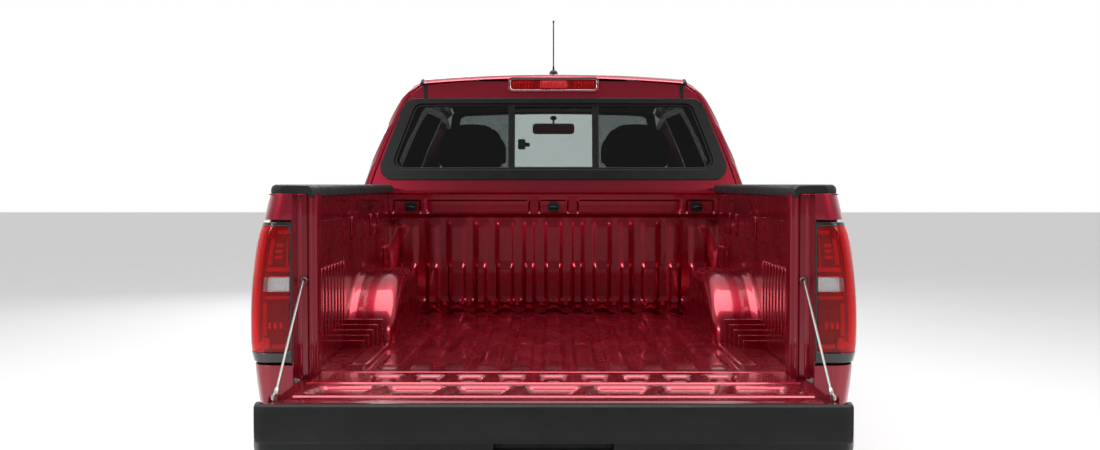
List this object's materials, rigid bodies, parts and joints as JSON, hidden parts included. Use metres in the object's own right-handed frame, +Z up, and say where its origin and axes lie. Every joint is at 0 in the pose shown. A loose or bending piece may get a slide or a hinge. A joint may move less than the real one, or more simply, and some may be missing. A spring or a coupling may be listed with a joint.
{
  "type": "pickup truck",
  "caption": "Crew-cab pickup truck with a short load bed, a tailgate let down on two straps, hinged doors and hood, steering and rolling wheels.",
  "frame": {"origin": "On the ground, under the middle of the truck's bounding box.", "axes": "+X forward along the truck, +Y to the driver's left, +Z up."},
  "size_m": [5.761, 2.25, 2.0415],
  "materials": {
    "body_paint": "deep glossy cherry red with fine metallic flake under clear coat",
    "frame_black": "satin black chassis paint",
    "black_plastic": "fine-grained charcoal plastic",
    "gloss_black": "gloss black",
    "lamp_clear": "clear lens over bright reflectors",
    "lamp_red": "red lens",
    "glass": "clear windshield",
    "dark_glass": "tinted window glass",
    "steel_cable": "coated steel strap",
    "steel": "stainless steel",
    "cast_iron": "rough cast metal",
    "alloy": "machined and painted alloy",
    "tyre": "black rubber",
    "carpet": "black carpet",
    "seat_cloth": "charcoal woven cloth",
    "dash_plastic": "soft-touch black plastic"
  },
  "bodies": {
    "body": {"frame_rails": "frame_black", "cab_floor": "carpet", "cab_sides": "body_paint", "cab_back": "body_paint", "roof_panel": "body_paint", "cowl": "black_plastic", "front_fenders": "body_paint", "front_bumper": "body_paint", "grille": "gloss_black", "headlamps": "lamp_clear", "windshield": "glass", "rear_window": "dark_glass", "bed_floor": "body_paint", "bed_sides": "body_paint", "bed_front_wall": "body_paint", "bed_rail_caps": "black_plastic", "tail_lamps": "lamp_red", "high_brake_lamp": "lamp_red", "rear_bumper": "black_plastic", "hitch_receiver": "frame_black", "tailgate_cables": "steel_cable", "antenna": "black_plastic", "dashboard": "dash_plastic", "front_seats": "seat_cloth", "rear_seat": "seat_cloth", "interior_mirror": "dash_plastic", "powertrain": "cast_iron", "front_suspension": "frame_black", "rear_suspension": "frame_black", "fuel_tank": "black_plastic", "exhaust": "steel", "spare_wheel": "tyre"},
    "hood": {"hood": "body_paint"},
    "tailgate": {"tailgate": "body_paint", "tailgate_cap": "black_plastic"},
    "front_door_left": {"front_door_left": "body_paint", "front_glass_left": "dark_glass", "mirror_left": "gloss_black"},
    "front_door_right": {"front_door_right": "body_paint", "front_glass_right": "dark_glass", "mirror_right": "gloss_black"},
    "rear_door_left": {"rear_door_left": "body_paint", "rear_glass_left": "dark_glass"},
    "rear_door_right": {"rear_door_right": "body_paint", "rear_glass_right": "dark_glass"},
    "steering_wheel": {"steering_wheel": "dash_plastic"},
    "knuckle_left": {"knuckle_left": "cast_iron"},
    "knuckle_right": {"knuckle_right": "cast_iron"},
    "wheel_front_left": {"tyre_front_left": "tyre", "rim_front_left": "alloy"},
    "wheel_front_right": {"tyre_front_right": "tyre", "rim_front_right": "alloy"},
    "wheel_rear_left": {"tyre_rear_left": "tyre", "rim_rear_left": "alloy"},
    "wheel_rear_right": {"tyre_rear_right": "tyre", "rim_rear_right": "alloy"}
  },
  "joints": [
    {"name": "steer_left", "type": "hinge", "parent": "body", "child": "knuckle_left", "pos_m": [1.9355, 0.731, 0.381], "axis": [0, 0, 1], "range_deg": [-34, 34]},
    {"name": "steer_right", "type": "hinge", "parent": "body", "child": "knuckle_right", "pos_m": [1.9355, -0.731, 0.381], "axis": [0, 0, 1], "range_deg": [-34, 34]},
    {"name": "steering_wheel_turn", "type": "hinge", "parent": "body", "child": "steering_wheel", "pos_m": [1.0005, 0.36, 0.985], "axis": [-0.9063, 0, 0.4226], "range_deg": [-530, 530]},
    {"name": "wheel_front_left_spin", "type": "hinge", "parent": "knuckle_left", "child": "wheel_front_left", "pos_m": [1.9355, 0.793, 0.381], "axis": [0, 1, 0], "continuous": true},
    {"name": "wheel_front_right_spin", "type": "hinge", "parent": "knuckle_right", "child": "wheel_front_right", "pos_m": [1.9355, -0.793, 0.381], "axis": [0, 1, 0], "continuous": true},
    {"name": "wheel_rear_left_spin", "type": "hinge", "parent": "body", "child": "wheel_rear_left", "pos_m": [-1.3225, 0.793, 0.381], "axis": [0, 1, 0], "continuous": true},
    {"name": "wheel_rear_right_spin", "type": "hinge", "parent": "body", "child": "wheel_rear_right", "pos_m": [-1.3225, -0.793, 0.381], "axis": [0, 1, 0], "continuous": true},
    {"name": "front_door_left_hinge", "type": "hinge", "parent": "body", "child": "front_door_left", "pos_m": [1.3805, 0.925, 0.85], "axis": [0, 0, -1], "range_deg": [0, 65]},
    {"name": "front_door_right_hinge", "type": "hinge", "parent": "body", "child": "front_door_right", "pos_m": [1.3805, -0.925, 0.85], "axis": [0, 0, 1], "range_deg": [0, 65]},
    {"name": "rear_door_left_hinge", "type": "hinge", "parent": "body", "child": "rear_door_left", "pos_m": [0.3365, 0.925, 0.85], "axis": [0, 0, -1], "range_deg": [0, 65]},
    {"name": "rear_door_right_hinge", "type": "hinge", "parent": "body", "child": "rear_door_right", "pos_m": [0.3365, -0.925, 0.85], "axis": [0, 0, 1], "range_deg": [0, 65]},
    {"name": "hood_hinge", "type": "hinge", "parent": "body", "child": "hood", "pos_m": [1.5605, 0, 1.14], "axis": [0, -1, 0], "range_deg": [0, 55]},
    {"name": "tailgate_hinge", "type": "hinge", "parent": "body", "child": "tailgate", "pos_m": [-2.3595, 0, 0.685], "axis": [0, 1, 0], "range_deg": [0, 90], "deforming": ["tailgate_cables"]}
  ],
  "couplings": [
    {"joint": "steer_right", "follows": "steer_left", "ratio": 1},
    {"joint": "steering_wheel_turn", "follows": "steer_left", "ratio": 15.4}
  ]
}
